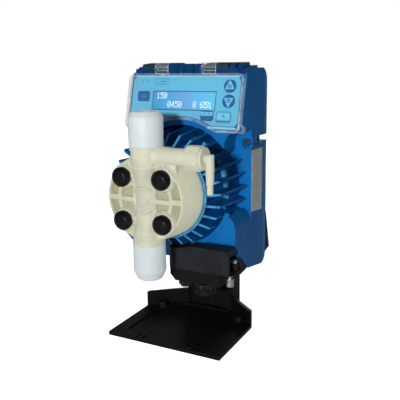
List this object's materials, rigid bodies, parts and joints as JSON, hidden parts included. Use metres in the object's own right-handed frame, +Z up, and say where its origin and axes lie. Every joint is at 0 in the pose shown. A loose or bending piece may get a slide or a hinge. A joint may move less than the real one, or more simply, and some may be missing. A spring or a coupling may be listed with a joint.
{
  "type": "diaphragm metering pump",
  "caption": "Electromagnetic diaphragm metering pump: sloping keypad under a clear hinged cover, finned solenoid barrel, moulded pump head with ball valves, on a table bracket.",
  "frame": {"origin": "on the underside of the base plate, midway between its front and rear fixing holes", "axes": "+Z up along the valves' axis, -Y towards the pump head (front), +X to the right of someone facing the head"},
  "size_m": [0.1108, 0.1349, 0.2308],
  "materials": {
    "black_moulding": "fine satin",
    "blue_paint": "semi-gloss powder coat",
    "steel": "plated",
    "soft_black": "matt",
    "label": "satin film",
    "keypad": "smooth film",
    "key_blue": "smooth film",
    "lens": "clear gloss",
    "display": "matt",
    "board": "matt",
    "clear": "clear gloss",
    "dark_clip": "satin",
    "copper": "enamelled",
    "brass": "turned",
    "bobbin": "matt",
    "white_face": "smooth",
    "cream": "semi-gloss moulded",
    "white_nut": "semi-gloss moulded",
    "ceramic": "polished"
  },
  "bodies": {
    "housing": {"mounting_bracket": "black_moulding", "bracket_screws": "steel", "front_housing": "blue_paint", "rear_cover": "blue_paint", "housing_seal": "soft_black", "cover_screws": "steel", "label_plate": "label", "keypad_panel": "keypad", "display_lens": "lens", "display_module": "display", "control_board": "board", "hinge_pins": "steel", "hinge_clips": "dark_clip", "finned_barrel": "blue_paint", "solenoid_can": "steel", "solenoid_cover": "steel", "coil_bobbin": "bobbin", "coil_winding": "copper", "guide_tube": "brass", "fixed_core": "steel", "rod_bush": "brass", "bump_stop": "soft_black", "return_spring": "steel", "diaphragm": "soft_black", "pump_head": "cream", "head_bolts": "steel", "bolt_caps": "black_moulding", "bleed_seal": "soft_black", "terminal_box": "black_moulding", "blanking_plug": "black_moulding", "gland_body": "black_moulding", "earth_screw": "steel", "signal_socket": "steel", "terminal_blocks": "bobbin", "discharge_valve_body": "cream", "discharge_valve_seat": "white_face", "discharge_seal": "soft_black", "discharge_hose_cone": "white_nut", "suction_valve_body": "cream", "suction_valve_seat": "white_face", "suction_seal": "soft_black", "suction_hose_cone": "white_nut"},
    "clear_cover": {"clear_cover": "clear"},
    "plunger": {"armature": "steel", "push_rod": "steel", "diaphragm_disc": "white_face"},
    "discharge_ball": {"discharge_ball": "ceramic"},
    "suction_ball": {"suction_ball": "ceramic"},
    "discharge_nut": {"discharge_nut": "white_nut"},
    "suction_nut": {"suction_nut": "white_nut"},
    "bleed_knob": {"bleed_knob": "cream"},
    "bleed_elbow": {"bleed_elbow": "cream"},
    "gland_nut": {"gland_nut": "black_moulding"},
    "mode_key": {"mode_key": "key_blue"},
    "up_key": {"up_key": "key_blue"},
    "down_key": {"down_key": "key_blue"},
    "start_key": {"start_key": "key_blue"},
    "escape_key": {"escape_key": "keypad"}
  },
  "joints": [
    {"name": "cover_hinge", "type": "hinge", "parent": "housing", "child": "clear_cover", "pos_m": [0, 0.0135, 0.2276], "axis": [-1, 0, 0], "range_deg": [0, 110]},
    {"name": "mode_key_press", "type": "slide", "parent": "housing", "child": "mode_key", "axis": [0, 0.9703, -0.2419], "range_m": [0, 0.0006], "stiffness_N_per_m": 300, "springref_m": -0.0003},
    {"name": "up_key_press", "type": "slide", "parent": "housing", "child": "up_key", "axis": [0, 0.9703, -0.2419], "range_m": [0, 0.0006], "stiffness_N_per_m": 300, "springref_m": -0.0003},
    {"name": "down_key_press", "type": "slide", "parent": "housing", "child": "down_key", "axis": [0, 0.9703, -0.2419], "range_m": [0, 0.0006], "stiffness_N_per_m": 300, "springref_m": -0.0003},
    {"name": "start_key_press", "type": "slide", "parent": "housing", "child": "start_key", "axis": [0, 0.9703, -0.2419], "range_m": [0, 0.0006], "stiffness_N_per_m": 300, "springref_m": -0.0003},
    {"name": "escape_key_press", "type": "slide", "parent": "housing", "child": "escape_key", "axis": [0, 0.9703, -0.2419], "range_m": [0, 0.0006], "stiffness_N_per_m": 300, "springref_m": -0.0003},
    {"name": "armature_stroke", "type": "slide", "parent": "housing", "child": "plunger", "axis": [0, -1, 0], "range_m": [0, 0.00125], "stiffness_N_per_m": 3000, "springref_m": -0.003},
    {"name": "discharge_ball_lift", "type": "slide", "parent": "housing", "child": "discharge_ball", "axis": [0, 0, 1], "range_m": [0, 0.0015]},
    {"name": "suction_ball_lift", "type": "slide", "parent": "housing", "child": "suction_ball", "axis": [0, 0, 1], "range_m": [0, 0.0015]},
    {"name": "discharge_nut_turn", "type": "hinge", "parent": "housing", "child": "discharge_nut", "pos_m": [0, -0.051, 0.18], "axis": [0, 0, 1], "continuous": true},
    {"name": "suction_nut_turn", "type": "hinge", "parent": "housing", "child": "suction_nut", "pos_m": [0, -0.051, 0.08], "axis": [0, 0, -1], "continuous": true},
    {"name": "gland_nut_turn", "type": "hinge", "parent": "housing", "child": "gland_nut", "pos_m": [0.028, -0.011, 0.045], "axis": [0, 0, -1], "continuous": true},
    {"name": "bleed_knob_turn", "type": "hinge", "parent": "housing", "child": "bleed_knob", "pos_m": [0.042, -0.051, 0.1636], "axis": [1, 0, 0], "range_deg": [0, 180]},
    {"name": "bleed_elbow_swivel", "type": "hinge", "parent": "housing", "child": "bleed_elbow", "pos_m": [0.0532, -0.051, 0.1636], "axis": [1, 0, 0], "range_deg": [-150, 150]}
  ]
}
